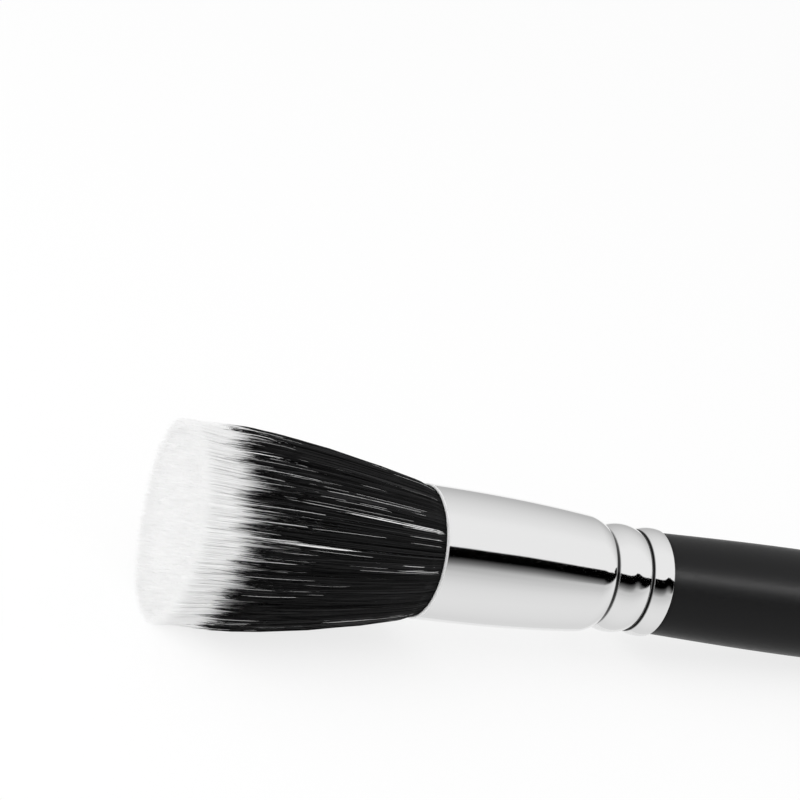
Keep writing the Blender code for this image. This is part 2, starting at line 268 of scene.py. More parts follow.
# Ferrule. One tube of nickel-plated brass, drawn to a long barrel with two swaged beads behind it,
# whose grooves grip the wood. Its rims are rolled. Its grooves are painted near black, a painted
# shade, and the mouth's rim is painted white, a painted highlight.
MOUTH_RADIUS = 0.0096
FERRULE_WALL = 0.0004
BARREL_LENGTH = 0.0257
BARREL_END_RADIUS = 0.00855
BARREL_CURVE = 2.3
SHOULDER_LENGTH = 0.0031
FRONT_GROOVE_RADIUS = 0.0072
FRONT_BEAD_WIDTH = 0.0053
FRONT_BEAD_RISE = 0.0007
REAR_GROOVE_RADIUS = 0.0073
REAR_BEAD_WIDTH = 0.0034
REAR_BEAD_RISE = 0.0003
FERRULE_END_RADIUS = 0.0079
RIM_RADIUS = 0.00024
RIM_RINGS = (1, 1.2)     # depths in rim radii, as are the next two
RIM_END = 1.3
BARREL_START = 1.5
BARREL_RINGS = 70
SHOULDER_RINGS = 36
FRONT_BEAD_RINGS = 73
REAR_BEAD_RINGS = 38
FERRULE_STEPS = 240
NICKEL_COLOUR = (0.8, 0.8, 0.8, 1)
NICKEL_ROUGHNESS = 0.05
NICKEL_HAZE = 0.03
POLISH_GRAIN = (9000, 260, 260)
POLISH_DEPTH = 0.0000001
POLISH_BUMP = 0.5
# Painted highlight: the mouth's rolled rim is coloured white, brighter than the nickel, so that it
# shows as a bright line.
RIM_HIGHLIGHT_COLOUR = (1, 1, 1, 1)
RIM_ROUGHNESS = 0.9
# Painted shade: the grooves' floors are coloured near black and lose their metal, in place of the
# shade that falls in them.
GROOVE_SHADE_COLOUR = (0.004, 0.004, 0.004, 1)
GROOVE_SHADE_SHINE = 0.05
GROOVE_SHADE_SHARPNESS = 8
GROOVE_SHADE_BANDS = ((-0.00042, 0.00046), (0.00014, 0.00022))   # offset and half width in each groove

FRONT_GROOVE_DEPTH = BARREL_LENGTH + SHOULDER_LENGTH
REAR_GROOVE_DEPTH = FRONT_GROOVE_DEPTH + FRONT_BEAD_WIDTH
FERRULE_LENGTH = REAR_GROOVE_DEPTH + REAR_BEAD_WIDTH


def sag(distance, bend):
    """How far an arc of this curvature has fallen at a distance along its tangent."""
    return bend * distance**2 / (1 + np.sqrt(1 - (bend * distance) ** 2))


def bend_of(span, fall):
    """The curvature of the arc that falls by this much over this span."""
    return 2 * fall / (span**2 + fall**2)


def bead(distance, width, rise, start, end):
    """Radius along a rounded bead: the straight line from its start to its end, plus an arc."""
    straight = start + (end - start) * distance / width
    return straight + rise - sag(distance - width / 2, bend_of(width / 2, rise))


def ferrule_radius(depth):
    """Outer radius at a depth below the mouth: a power taper, a tangent arc and two beads."""
    taper = MOUTH_RADIUS - BARREL_END_RADIUS
    in_barrel = np.clip(depth, 0, BARREL_LENGTH)
    barrel = MOUTH_RADIUS - taper * (in_barrel / BARREL_LENGTH) ** BARREL_CURVE
    end_slope = taper * BARREL_CURVE / BARREL_LENGTH
    past_barrel = np.clip(depth - BARREL_LENGTH, 0, SHOULDER_LENGTH)
    fall = BARREL_END_RADIUS - FRONT_GROOVE_RADIUS - end_slope * SHOULDER_LENGTH
    shoulder = barrel - end_slope * past_barrel - sag(past_barrel, bend_of(SHOULDER_LENGTH, fall))
    in_front = np.clip(depth - FRONT_GROOVE_DEPTH, 0, FRONT_BEAD_WIDTH)
    front = bead(in_front, FRONT_BEAD_WIDTH, FRONT_BEAD_RISE,
                 FRONT_GROOVE_RADIUS, REAR_GROOVE_RADIUS)
    in_rear = np.clip(depth - REAR_GROOVE_DEPTH, 0, REAR_BEAD_WIDTH)
    rear = bead(in_rear, REAR_BEAD_WIDTH, REAR_BEAD_RISE, REAR_GROOVE_RADIUS, FERRULE_END_RADIUS)
    before_end = [depth <= FRONT_GROOVE_DEPTH, depth <= REAR_GROOVE_DEPTH]
    return np.select(before_end, [shoulder, front], rear)


def turned_piece(name, radius, depth, steps):
    """A turned surface: radius at each depth, swept round the brush's axis in equal steps.

    A profile that starts and ends on the axis closes there with one point, and any other profile
    is a loop, whose end joins its start. Each face keeps the turning sense of the profile, which
    runs down the outer side.
    """
    on_axis = radius[0] == 0
    ring_radius, ring_depth = (radius[1:-1], depth[1:-1]) if on_axis else (radius, depth)
    angle = np.linspace(0, 2 * math.pi, steps, endpoint=False)
    rings, count = len(ring_radius), len(ring_radius) * steps
    points = laid_down(
        np.outer(ring_radius, np.cos(angle)),
        np.outer(ring_radius, np.sin(angle)),
        np.broadcast_to(-ring_depth[:, None], (rings, steps)),
    ).reshape(-1, 3)
    row = np.arange(rings - 1 if on_axis else rings)[:, None]
    column = np.arange(steps)[None, :]
    here, below = row * steps, (row + 1) % rings * steps
    after = (column + 1) % steps
    walls = np.stack([here + column, below + column, below + after, here + after], -1)
    faces = [walls.reshape(-1, 4)]
    if on_axis:
        poles = laid_down([0, 0], [0, 0], [-depth[0], -depth[-1]])
        points = np.concatenate([points, poles])
        around, ahead = np.arange(steps), (np.arange(steps) + 1) % steps
        last = (rings - 1) * steps
        faces.append(np.column_stack([np.full(steps, count), around, ahead]))
        faces.append(np.column_stack([last + ahead, last + around, np.full(steps, count + 1)]))
    return mesh_object(name, points, faces)


def corner_arc(radius, depth, start, end, count=6):
    """A quarter round about a centre, from one angle to another. Angle 0 points off the axis and
    90 points down the handle."""
    angle = np.radians(np.linspace(start, end, count))
    return radius + RIM_RADIUS * np.cos(angle), depth + RIM_RADIUS * np.sin(angle)


def own_axis_coordinates(tree, scale):
    """Object coordinates turned so that X runs down the brush's axis, then stretched."""
    place = add_node(tree, "ShaderNodeTexCoord")
    turn = add_node(tree, "ShaderNodeMapping", in_2=(0, -LEAN, 0))
    stretch = add_node(tree, "ShaderNodeMapping", in_3=scale)
    tree.links.new(place.outputs["Object"], turn.inputs["Vector"])
    tree.links.new(turn.outputs["Vector"], stretch.inputs["Vector"])
    return stretch.outputs["Vector"]


def noise(tree, scale, detail, stretch):
    """A noise whose grain is finest down the axis where the first stretch is the largest."""
    made = add_node(tree, "ShaderNodeTexNoise")
    made.inputs["Scale"].default_value = scale
    made.inputs["Detail"].default_value = detail
    tree.links.new(own_axis_coordinates(tree, stretch), made.inputs["Vector"])
    return made.outputs["Fac"]


def spread_between(tree, value, low, high):
    """Maps a value of 0.3 to 0.7, where a noise mostly lies, to the numbers low to high."""
    made = add_node(tree, "ShaderNodeMapRange", in_1=0.3, in_2=0.7, in_3=low, in_4=high)
    tree.links.new(value, made.inputs[0])
    return made.outputs[0]


def between_colours(tree, factor, low, high):
    """The colour at a factor of 0 to 1 between two. Each is a colour or a node's output."""
    mix = add_node(tree, "ShaderNodeMix", data_type="RGBA")
    tree.links.new(factor, mix.inputs[0])
    for number, colour in ((6, low), (7, high)):
        if isinstance(colour, tuple):
            mix.inputs[number].default_value = colour
        else:
            tree.links.new(colour, mix.inputs[number])
    return mix.outputs[2]


def add_bump(tree, shader, height, distance, amount):
    """Bump of a height value, with its real depth in metres."""
    bump = add_node(tree, "ShaderNodeBump")
    bump.inputs["Strength"].default_value = amount
    bump.inputs["Distance"].default_value = distance
    tree.links.new(height, bump.inputs["Height"])
    tree.links.new(bump.outputs["Normal"], shader.inputs["Normal"])


mid_depth = np.concatenate([
    np.array(RIM_RINGS) * RIM_RADIUS,
    np.linspace(BARREL_START * RIM_RADIUS, BARREL_LENGTH, BARREL_RINGS)[:-1],
    np.linspace(BARREL_LENGTH, FRONT_GROOVE_DEPTH, SHOULDER_RINGS)[:-1],
    np.linspace(FRONT_GROOVE_DEPTH, REAR_GROOVE_DEPTH, FRONT_BEAD_RINGS)[:-1],
    np.linspace(REAR_GROOVE_DEPTH, FERRULE_LENGTH - RIM_RADIUS, REAR_BEAD_RINGS),
])
mouth_rim = corner_arc(MOUTH_RADIUS - RIM_RADIUS, RIM_RADIUS, -90, 0)
end_radius = ferrule_radius(np.array([FERRULE_LENGTH - RIM_RADIUS]))[0]
end_rim = corner_arc(end_radius - RIM_RADIUS, FERRULE_LENGTH - RIM_RADIUS, 0, 90)
end_bore = corner_arc(end_radius - FERRULE_WALL + RIM_RADIUS, FERRULE_LENGTH - RIM_RADIUS, 90, 180)
mouth_bore = corner_arc(MOUTH_RADIUS - FERRULE_WALL + RIM_RADIUS, RIM_RADIUS, 180, 270)
ferrule_profile = [
    np.concatenate(parts) for parts in (
        (mouth_rim[0][:-1], ferrule_radius(mid_depth), end_rim[0][1:], end_bore[0],
         ferrule_radius(mid_depth[1:-1:2][::-1]) - FERRULE_WALL, mouth_bore[0]),
        (mouth_rim[1][:-1], mid_depth, end_rim[1][1:], end_bore[1],
         mid_depth[1:-1:2][::-1], mouth_bore[1]),
    )
]
ferrule = turned_piece("swaged_ferrule", *ferrule_profile, FERRULE_STEPS)

on_outside = np.arange(len(ferrule_profile[0])) < len(mouth_rim[0]) + len(mid_depth)
# Painted shade: a band of near black colour on the outside of each groove.
in_groove = [np.exp(-((ferrule_profile[1] - groove - offset) / half_width) ** GROOVE_SHADE_SHARPNESS)
             for groove, (offset, half_width)
             in zip((FRONT_GROOVE_DEPTH, REAR_GROOVE_DEPTH), GROOVE_SHADE_BANDS)]
set_attribute(ferrule, "groove_shade", np.repeat(on_outside * sum(in_groove), FERRULE_STEPS))
# This mask carries a painted highlight: white colour on the mouth's rolled rim.
set_attribute(ferrule, "rim", np.repeat(ferrule_profile[1] < RIM_END * RIM_RADIUS, FERRULE_STEPS))

nickel, nickel_tree, nickel_shader = shader_setup("polished_nickel")
# The grooves' dark colour and their lack of metal are painted shade.
groove_shade, rim = stored_value(nickel_tree, "groove_shade"), stored_value(nickel_tree, "rim")
metal_colour = between_colours(nickel_tree, groove_shade, NICKEL_COLOUR, GROOVE_SHADE_COLOUR)
# Painted highlight: white colour on the mouth's rim.
nickel_colour = between_colours(nickel_tree, rim, metal_colour, RIM_HIGHLIGHT_COLOUR)
nickel_tree.links.new(nickel_colour, nickel_shader.inputs["Base Color"])
bare_metal = add_node(nickel_tree, "ShaderNodeMapRange", in_3=1, in_4=0)
nickel_tree.links.new(groove_shade, bare_metal.inputs[0])
nickel_tree.links.new(bare_metal.outputs[0], nickel_shader.inputs["Metallic"])
nickel_shader.inputs["Specular IOR Level"].default_value = GROOVE_SHADE_SHINE
polish = noise(nickel_tree, 1, 3, POLISH_GRAIN)
haze = spread_between(nickel_tree, polish, NICKEL_ROUGHNESS, NICKEL_ROUGHNESS + NICKEL_HAZE)
rim_or_haze = add_node(nickel_tree, "ShaderNodeMapRange", in_4=RIM_ROUGHNESS)
nickel_tree.links.new(rim, rim_or_haze.inputs[0])
nickel_tree.links.new(haze, rim_or_haze.inputs[3])
nickel_tree.links.new(rim_or_haze.outputs[0], nickel_shader.inputs["Roughness"])
add_bump(nickel_tree, nickel_shader, polish, POLISH_DEPTH, POLISH_BUMP)
ferrule.data.materials.append(nickel)
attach(ferrule, "root")
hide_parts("ferrule")


# Handle. A birch stick turned with a tenon, dipped in black lacquer and rubbed to a satin finish.
# The ferrule's grooves are swaged into its tenon.
HANDLE_LENGTH = 0.1162
HANDLE_GAP = 0.0003      # between the ferrule and the handle in the solids
NECK_STEP = 0.0005
NECK_BEVEL = 0.00015
NECK_RISE = 0.0001
SWELL_RADIUS = 0.008
SWELL_DISTANCE = 0.028
TAIL_RADIUS = 0.0052
TAIL_CURVE = 1.5
END_DOME_LENGTH = 0.006
END_FLAT_RADIUS = 0.0018
SEAT_GAP = 0.00005
TENON_GAP = 0.0001
TENON_DEPTH = 0.0222
TENON_CHAMFER = 0.0004
TENON_RINGS = 60
TENON_END_GAP = 0.0002
SWELL_RINGS = 40
TAPER_RINGS = 70
DOME_RINGS = 24
HANDLE_STEPS = 200
LACQUER_COLOUR = (0.0045, 0.0045, 0.0047, 1)
LACQUER_SHINE = 0.11
LACQUER_ROUGHNESS = (0.33, 0.4)
RUBBING_GRAIN = (900, 2600, 2600)
RUBBING_DEPTH = 0.000006
RUBBING_BUMP = 0.35

neck_depth = FERRULE_LENGTH + SEAT_GAP
neck_radius = FERRULE_END_RADIUS - NECK_STEP
tenon_radius = FERRULE_END_RADIUS - FERRULE_WALL - TENON_GAP
tenon_depth = np.concatenate([
    [TENON_DEPTH + TENON_CHAMFER],
    np.linspace(TENON_DEPTH + 2 * TENON_CHAMFER, FERRULE_LENGTH - TENON_END_GAP, TENON_RINGS),
])
tenon_side = np.minimum(tenon_radius, ferrule_radius(tenon_depth) - FERRULE_WALL - TENON_GAP)
swell = np.linspace(0, 1, SWELL_RINGS)
swell_radius = neck_radius + (SWELL_RADIUS - neck_radius) * np.sin(swell * math.pi / 2)
taper = np.linspace(0, 1, TAPER_RINGS)[1:]
taper_radius = SWELL_RADIUS - (SWELL_RADIUS - TAIL_RADIUS) * taper**TAIL_CURVE
body_length = HANDLE_LENGTH - END_DOME_LENGTH - SWELL_DISTANCE
dome = np.linspace(0, math.pi / 2, DOME_RINGS)[1:]
dome_radius = END_FLAT_RADIUS + (TAIL_RADIUS - END_FLAT_RADIUS) * np.cos(dome)
cad_neck_depth = FERRULE_LENGTH + HANDLE_GAP
handle_profile = [
    np.concatenate([[0, tenon_radius - TENON_CHAMFER], tenon_side, [neck_radius - NECK_BEVEL],
                    swell_radius, taper_radius, dome_radius, [0]]),
    np.concatenate([[TENON_DEPTH, TENON_DEPTH], tenon_depth, [neck_depth],
                    np.maximum(cad_neck_depth + swell * SWELL_DISTANCE, neck_depth + NECK_RISE),
                    cad_neck_depth + SWELL_DISTANCE + taper * body_length,
                    (cad_neck_depth + HANDLE_LENGTH - END_DOME_LENGTH
                     + END_DOME_LENGTH * np.sin(dome)),
                    [cad_neck_depth + HANDLE_LENGTH]]),
]
handle = turned_piece("lacquered_handle", *handle_profile, HANDLE_STEPS)

lacquer, lacquer_tree, lacquer_shader = shader_setup("black_lacquer")
lacquer_shader.inputs["Base Color"].default_value = LACQUER_COLOUR
lacquer_shader.inputs["Specular IOR Level"].default_value = LACQUER_SHINE
rubbing = noise(lacquer_tree, 1, 4, RUBBING_GRAIN)
dullness = spread_between(lacquer_tree, rubbing, *LACQUER_ROUGHNESS)
lacquer_tree.links.new(dullness, lacquer_shader.inputs["Roughness"])
add_bump(lacquer_tree, lacquer_shader, rubbing, RUBBING_DEPTH, RUBBING_BUMP)
handle.data.materials.append(lacquer)
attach(handle, "root")
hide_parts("handle")

# A strip lamp above the camera, which lights only the handle, draws its soft lighter band
STRIP_ANGLE = CAMERA_SIDE + math.radians(25)
STRIP_ALONG = 0.2
STRIP_DISTANCE = 0.5
STRIP_SIZE = (1.6, 0.07)
STRIP_POWER = 6.5
strip_data = bpy.data.lights.new("strip_lamp", "AREA")
strip_data.shape = "RECTANGLE"
strip_data.size, strip_data.size_y = STRIP_SIZE
strip_data.energy = STRIP_POWER
strip = bpy.data.objects.new("strip_lamp", strip_data)
strip.location = (STRIP_ALONG, STRIP_DISTANCE * math.sin(STRIP_ANGLE),
                  STRIP_DISTANCE * math.cos(STRIP_ANGLE))
strip.rotation_euler = (-STRIP_ANGLE, 0, 0)
scene.collection.objects.link(strip)
only_handle = bpy.data.collections.new("lit_by_the_strip")
only_handle.objects.link(handle)
strip.light_linking.receiver_collection = only_handle


# Hidden in the ferrule: the clear resin that holds the knot's root, the cotton thread that binds
# it, and the cake of wood glue on the tenon's end. Their solids are shown as they are.
HIDDEN_FINISHES = (   # node, colour, roughness, scale and depth of the grain
    ("root_resin", (0.72, 0.58, 0.3), 0.12, 300, 0.00002),
    ("binding_thread", (0.8, 0.78, 0.72), 0.85, 5000, 0.00008),
    ("tenon_glue", (0.84, 0.79, 0.66), 0.4, 900, 0.00004),
)
MOTTLE_SHADE = 0.8
MOTTLE_BUMP = 0.5


def hidden_finish(node, colour, roughness, grain_scale, grain_depth):
    """Gives a solid of the model its colour, mottled by a fine grain, and its surface."""
    made, tree, shader = shader_setup(f"{node}_finish")
    grain = noise(tree, grain_scale, 4, (1, 1, 1))
    darker = tuple(part * MOTTLE_SHADE for part in colour)
    mottle = between_colours(tree, spread_between(tree, grain, 0, 1), (*darker, 1), (*colour, 1))
    tree.links.new(mottle, shader.inputs["Base Color"])
    shader.inputs["Roughness"].default_value = roughness
    add_bump(tree, shader, grain, grain_depth, MOTTLE_BUMP)
    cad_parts[node].data.materials.clear()
    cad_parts[node].data.materials.append(made)


for hidden in HIDDEN_FINISHES:
    hidden_finish(*hidden)


# Knot root. Inside the ferrule the fibres of both colours are packed tight and soaked with resin,
# so down there they are one dark plug. The thread winds round its lower end.
KNOT_RADIUS = 0.0089
KNOT_ROOT_RADIUS = 0.0077
KNOT_DEPTH = 0.014
PLUG_TOP_DEPTH = 0.0012
PLUG_INSET = 0.00008
PLUG_RINGS = 14
PLUG_STEPS = 180
BLACK_COLOURS = ((0.0015, 0.0015, 0.0016, 1), (0.03, 0.03, 0.031, 1))
BLACK_ROUGHNESS = 0.42
BLACK_SHINE = 0.1


def knot_root_radius(depth):
    """The knot's radius below the mouth: it narrows evenly to its bound root."""
    return KNOT_RADIUS + (KNOT_ROOT_RADIUS - KNOT_RADIUS) * depth / KNOT_DEPTH


plug_depth = np.linspace(PLUG_TOP_DEPTH, KNOT_DEPTH, PLUG_RINGS)
plug_radius = knot_root_radius(plug_depth) - PLUG_INSET
plug = turned_piece(
    "knot_root",
    np.concatenate([[0], plug_radius, [0]]),
    np.concatenate([[PLUG_TOP_DEPTH], plug_depth, [KNOT_DEPTH]]),
    PLUG_STEPS,
)

black_hair, black_tree, black_shader = shader_setup("black_hair")
black_colour = between_colours(black_tree, stored_value(black_tree, "tone"), *BLACK_COLOURS)
black_tree.links.new(black_colour, black_shader.inputs["Base Color"])
black_shader.inputs["Roughness"].default_value = BLACK_ROUGHNESS
black_shader.inputs["Specular IOR Level"].default_value = BLACK_SHINE

set_attribute(plug, "tone", np.zeros(len(plug.data.vertices)))
plug.data.materials.append(black_hair)
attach(plug, "root")


# Black hairs. Soft black natural hairs of uneven length, gathered in small pointed locks. They
# stand thickest round the outside of the knot, and follow its flare.
TIP_RADIUS = 0.01405
FLARE_LENGTH = 0.03
FLARE_POWER = 1.5
MOUTH_FILL = 0.0091
RIM_SWELL = 0.0005
RIM_SWELL_LENGTH = 0.0008
TUFT_SAG = 0.00065
SAG_LENGTH = 0.0363
SAG_POWER = 0.6
STAND_OUT = 0.0001
FIBRE_SIDES = 3
FIBRES_IN_BUNDLE = 4500
RING_COUNT = 6
RING_GAP = 0.00014
BLACK_IN_RING = (7200, 1000, 450, 250, 150, 60)
BLACK_LENGTH = 0.0285
BLACK_SLANT = 0.0003
BLACK_CUTS = ((23, 8, 0.0024), (-157, 16, 0.0014))   # side, narrowness, depth
BLACK_WIDTH = 0.000048
BLACK_WIDTHS_VARY = (0.75, 1.2)
BLACK_TAPER = ((0, 0.55, 0.95), (1, 0.95, 0.55))     # share of the length, share of the width
BLACK_TONES = 2.5
BLACK_HEIGHTS = np.array([-0.04, 0.015, 0.07, 0.25, 0.55, 0.8, 0.95, 1])
HAIRS_IN_LOCK = 9
HAIR_UNEVENNESS = 0.0015
HAIR_DRIFT = 0.00007
LOCK_UNEVENNESS = 0.0028
LOCK_DRIFT = 0.00022
LOCK_DRIFT_POWER = 1.5
LOCK_SPREAD = 0.00022
LOCK_PINCH = 0.93
PINCH_POWER = 3
OUTER_LOCKS = 0.85       # share of the outermost ring's locks that start near its outside
OUTER_BAND = 0.2
KNOT_EDGE = 0.00005
TABLE_CUSHION = 0.0007
BLACK_SEED = 100


def tuft_radius(height):
    """The tuft's outer radius. It swells over the ferrule's rim, then flares, and keeps one width
    near its tips: the mouth's radius, plus a share that nears one as a power of what is left."""
    above = np.clip(height, 0, None)
    left = 1 - np.clip(above / FLARE_LENGTH, 0, 1)
    flare = (TIP_RADIUS - RIM_SWELL - MOUTH_FILL) * (1 - left**FLARE_POWER)
    return MOUTH_FILL + flare + RIM_SWELL * (1 - np.exp(-above / RIM_SWELL_LENGTH))


def onto_table(points):
    """Lays what would pass under the table onto it: low heights shrink evenly towards zero."""
    low = TABLE_CUSHION * np.exp(points[..., 2] / TABLE_CUSHION - 1)
    points[..., 2] = np.where(points[..., 2] < TABLE_CUSHION, low, points[..., 2])
    return points


def fibres(name, side, across, height, width, tone, turn):
    """Many tapered fibres, each closed at its root and drawn to a point, as a list of pieces.

    side, across and height are (fibres, stations) paths on the brush's axis, and width is the
    radius at each station. A ring of three points stands round each station but the last, at the
    fibre's own turn, and the last is the tip. tone has a value for each station. What is more
    than one bundle holds is shared out evenly, and each bundle is a piece of its own.
    """
    count, stations = side.shape
    rings = stations - 1
    angle = turn[:, None] + np.arange(FIBRE_SIDES) * 2 * math.pi / FIBRE_SIDES
    ring_side = side[:, :-1, None] + width[:, :-1, None] * np.cos(angle)[:, None, :]
    ring_across = across[:, :-1, None] + width[:, :-1, None] * np.sin(angle)[:, None, :]
    ring_height = np.broadcast_to(height[:, :-1, None], ring_side.shape)
    body = laid_down(ring_side, ring_across, ring_height).reshape(count, -1, 3)
    tip = laid_down(side[:, -1:], across[:, -1:], height[:, -1:])
    points = onto_table(np.concatenate([body, tip], axis=1))
    tones = np.concatenate([np.repeat(tone[:, :-1], FIBRE_SIDES, axis=1), tone[:, -1:]], axis=1)
    in_fibre = rings * FIBRE_SIDES + 1
    ring = np.repeat(np.arange(rings - 1), FIBRE_SIDES) * FIBRE_SIDES
    corner = np.tile(np.arange(FIBRE_SIDES), rings - 1)
    after = (corner + 1) % FIBRE_SIDES
    beyond = ring + FIBRE_SIDES
    walls = np.stack([ring + corner, ring + after, beyond + after, beyond + corner], -1)
    top = (rings - 1) * FIBRE_SIDES
    own = np.arange(FIBRE_SIDES)
    apex = np.full(FIBRE_SIDES, in_fibre - 1)
    cone = np.stack([top + own, top + (own + 1) % FIBRE_SIDES, apex], -1)
    root = own[::-1][None]
    bundles = np.array_split(np.arange(count), math.ceil(count / FIBRES_IN_BUNDLE))
    made = []
    for members, letter in zip(bundles, "ab" if len(bundles) > 1 else [""]):
        first = (np.arange(len(members)) * in_fibre)[:, None, None]
        faces = [(first + shape).reshape(-1, shape.shape[1]) for shape in (walls, cone, root)]
        bundle = mesh_object(name + letter, points[members].reshape(-1, 3), faces, smooth=False)
        set_attribute(bundle, "tone", tones[members])
        made.append(bundle)
    return made


def ring_edges(ring):
    """The outer and the inner radius, at the mouth, of one of the knot's rings."""
    pitch = (KNOT_RADIUS + RING_GAP) / RING_COUNT
    outer = KNOT_RADIUS - ring * pitch
    return outer, max(outer - pitch + RING_GAP, 0)


def grown(name, start, drift, height, width, rng, tones, shade=1.0):
    """Fibres from their places at the mouth: each follows the flare, plus its own drift.

    start and drift are pairs, of the side and the across part. The flare scales a start by the
    tuft's outline, and no fibre passes that outline. A fibre's tone is a random number from 0 to
    1 to the power tones, times the shade at each station.
    """
    count = len(height)
    outline = tuft_radius(height)
    widen = outline / KNOT_RADIUS * knot_root_radius(np.clip(-height, 0, None)) / KNOT_RADIUS
    side = start[0] * widen + drift[0]
    across = start[1] * widen + drift[1]
    limit = outline + rng.uniform(-1, 1, (count, 1)) * STAND_OUT
    held = np.minimum(1, limit / np.hypot(side, across))
    side, across = side * held, across * held
    side = side - TUFT_SAG * np.clip(height / SAG_LENGTH, 0, None) ** SAG_POWER
    tone = rng.uniform(0, 1, (count, 1)) ** tones * np.broadcast_to(shade, height.shape)
    turn = rng.uniform(0, 2 * math.pi, count)
    return fibres(name, side, across, height, width, tone, turn)


def black_ring(ring, rng):
    """One ring of black hairs, in locks whose hairs lean together towards their tips.

    A lock's hairs start round its middle, at offsets that shrink by the pinch times a power of
    the share of their length. Its length is the common one, less the cuts and a random part.
    """
    outer, inner = ring_edges(ring)
    locks = BLACK_IN_RING[ring] // HAIRS_IN_LOCK
    part = rng.uniform(0, 1, locks)
    if ring == 0:
        part = np.where(rng.uniform(0, 1, locks) < OUTER_LOCKS, 1 - OUTER_BAND * part, part)
    reach = np.sqrt(inner**2 + (outer**2 - inner**2) * part)
    heading = rng.uniform(0, 2 * math.pi, locks)
    lock = np.repeat(np.arange(locks), HAIRS_IN_LOCK)
    count = len(lock)
    off = rng.normal(0, LOCK_SPREAD, (2, count))
    cut = BLACK_SLANT * np.sin(heading)
    for middle, narrowness, deepest in BLACK_CUTS:
        cut = cut + deepest * np.clip(np.cos(heading - math.radians(middle)), 0, 1) ** narrowness
    in_lock = BLACK_LENGTH - cut + rng.uniform(-1, 1, locks) * LOCK_UNEVENNESS
    length = in_lock[lock] + np.abs(rng.normal(0, HAIR_UNEVENNESS, count))
    height = BLACK_HEIGHTS * length[:, None]
    along = np.clip(BLACK_HEIGHTS, 0, 1)
    pinch = 1 - LOCK_PINCH * along**PINCH_POWER
    middle_of_lock = np.stack([reach * np.cos(heading), reach * np.sin(heading)])
    start = middle_of_lock[:, lock, None] + off[:, :, None] * pinch
    start = start * np.minimum(1, (KNOT_RADIUS - KNOT_EDGE) / np.hypot(*start))
    drift = rng.normal(0, LOCK_DRIFT, (2, locks))[:, lock, None] * along**LOCK_DRIFT_POWER
    drift = drift + rng.normal(0, HAIR_DRIFT, (2, count))[:, :, None] * along
    thick = BLACK_WIDTH * rng.uniform(*BLACK_WIDTHS_VARY, count)
    width = thick[:, None] * np.interp(along, *BLACK_TAPER)
    for made in grown(f"black_hairs_{ring + 1}", start, drift, height, width, rng, BLACK_TONES):
        made.data.materials.append(black_hair)
        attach(made, "root")
        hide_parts(f"black_hair_{ring + 1}")


for ring in range(RING_COUNT):
    black_ring(ring, np.random.default_rng(BLACK_SEED + ring))


# White fibres. Straight white synthetic filaments with tapered tips, longer than the black hairs
# and all of nearly one length, so that they end the knot in a flat white face.
WHITE_IN_RING = (6000, 3200, 2000, 1300, 700, 250)
WHITE_LENGTH = 0.0375
WHITE_SLANT = 0.0009
WHITE_SADDLE = 0.0004
WHITE_LENGTH_SPREAD = 0.0003
WHITE_WIDTH = 0.00005
WHITE_WIDTHS_VARY = (0.8, 1.2)
WHITE_TAPER = ((0, 0.965, 1), (1, 0.95, 0.5))        # share of the length, share of the width
WHITE_DRIFT = 0.0002
WHITE_DRIFT_POWER = 4
MOST_DRIFT = 0.0004
WHITE_REACH = 0.92
WHITE_RETURN = 0.08
RETURN_START = 0.74
RETURN_SPAN = 0.22
WANDERING_SHARE = 0.02
WANDERING_DRIFT = 3.0
WANDERING_EXTRA = 0.005
WHITE_HEIGHTS = np.array([-0.04, 0.02, 0.1, 0.35, 0.65, 0.84, 0.965, 1])
WHITE_COLOURS = ((0.9, 0.9, 0.9, 1), (1.0, 1.0, 1.0, 1))
WHITE_ROUGHNESS = 0.5
WHITE_SHINE = 0.4
WHITE_TONES = 0.12
# Painted shade: the outermost white tips are coloured darker towards the tuft's edge, in place of
# the shade there.
TIP_SHADE = ((0.84, 0.965, 1), (0, 0.375, 0.75))     # share of the length, shade at the edge
EDGE_SHARPNESS = 6
WHITE_SEED = 200

white_fibre, white_tree, white_shader = shader_setup("white_fibre")
white_colour = between_colours(white_tree, stored_value(white_tree, "tone"), *WHITE_COLOURS)
white_tree.links.new(white_colour, white_shader.inputs["Base Color"])
white_shader.inputs["Roughness"].default_value = WHITE_ROUGHNESS
white_shader.inputs["Specular IOR Level"].default_value = WHITE_SHINE


